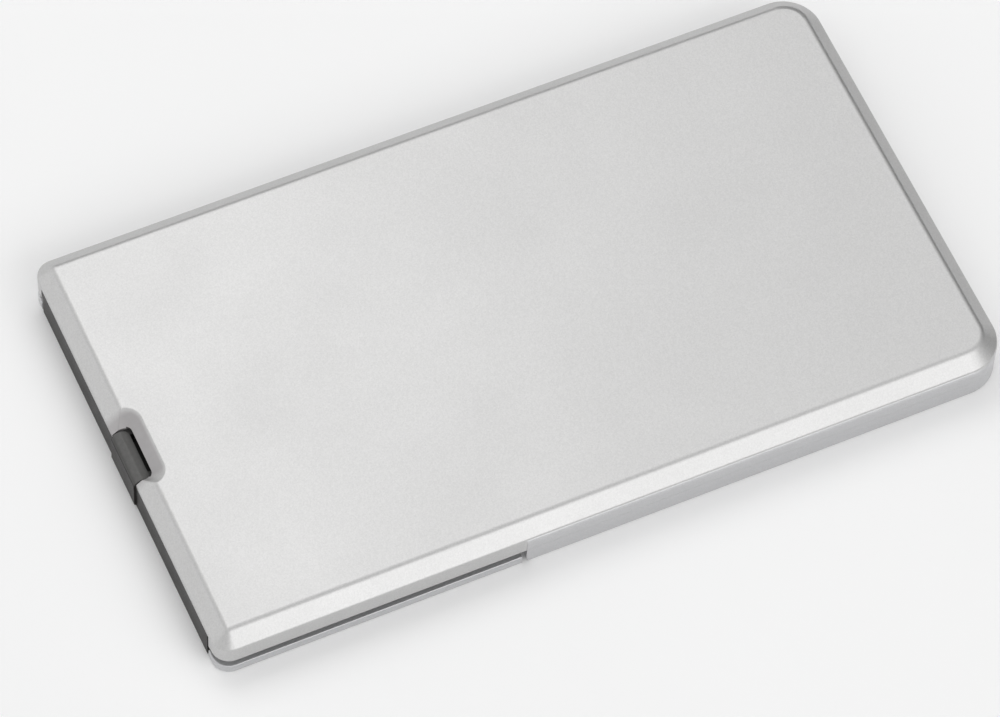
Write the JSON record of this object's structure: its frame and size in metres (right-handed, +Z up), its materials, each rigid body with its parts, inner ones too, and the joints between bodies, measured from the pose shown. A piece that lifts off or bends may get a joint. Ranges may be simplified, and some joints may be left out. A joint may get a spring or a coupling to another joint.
{
  "type": "folding pocket magnifier",
  "caption": "Slim lit pocket magnifier folded in its own flat silver case; the framed lens swings out of the underside at one short end.",
  "frame": {"origin": "under the middle of the bounding box, on the face the closed case lies on", "axes": "+X along the case away from its hinge end, +Y across it, +Z up through the flat cover"},
  "size_m": [0.1106, 0.062, 0.0074],
  "materials": {
    "silver_shell": "moulded plastic under matt silver metallic lacquer with a fine grain",
    "dark_plastic": "fine matt moulded plastic, dark grey",
    "bumper_rubber": "soft matt rubber",
    "clear_lens": "clear moulded acrylic",
    "lamp_white": "white lamp package",
    "board_green": "green circuit board lacquer",
    "chip_black": "black moulded component",
    "cell_steel": "plain nickel-plated steel",
    "contact_brass": "plain brass strip"
  },
  "bodies": {
    "case": {"top_cover": "silver_shell", "chassis": "dark_plastic", "near_rail": "silver_shell", "far_rail": "silver_shell", "mid_band": "silver_shell", "lower_shell": "silver_shell", "coin_cells": "cell_steel", "positive_contact": "contact_brass", "negative_contact": "contact_brass", "battery_leads": "contact_brass", "circuit_board": "board_green", "driver_chip": "chip_black", "chip_resistors": "chip_black", "choke_coil": "chip_black", "feed_strips": "contact_brass", "switch_leaf": "contact_brass", "detent_springs": "cell_steel", "hinge_pins": "cell_steel", "hinge_washers": "cell_steel", "cover_screws": "cell_steel", "case_screws": "cell_steel", "board_screws": "cell_steel", "bay_bumpers": "bumper_rubber"},
    "lens_unit": {"hinge_bar": "dark_plastic", "pin_sockets": "contact_brass", "lens_frame": "dark_plastic", "lens": "clear_lens", "lens_frame_screws": "cell_steel", "lamp_board": "board_green", "lamp": "lamp_white", "lamp_window": "clear_lens", "lamp_wires": "contact_brass"},
    "door": {"battery_door": "silver_shell", "cell_link_plate": "contact_brass"}
  },
  "joints": [
    {"name": "lens_hinge", "type": "hinge", "parent": "case", "child": "lens_unit", "pos_m": [-0.05305, 0, 0.0022], "axis": [0, 1, 0], "range_deg": [0, 180]},
    {"name": "door_slide", "type": "slide", "parent": "case", "child": "door", "axis": [1, 0, 0], "range_m": [0, 0.018]}
  ]
}
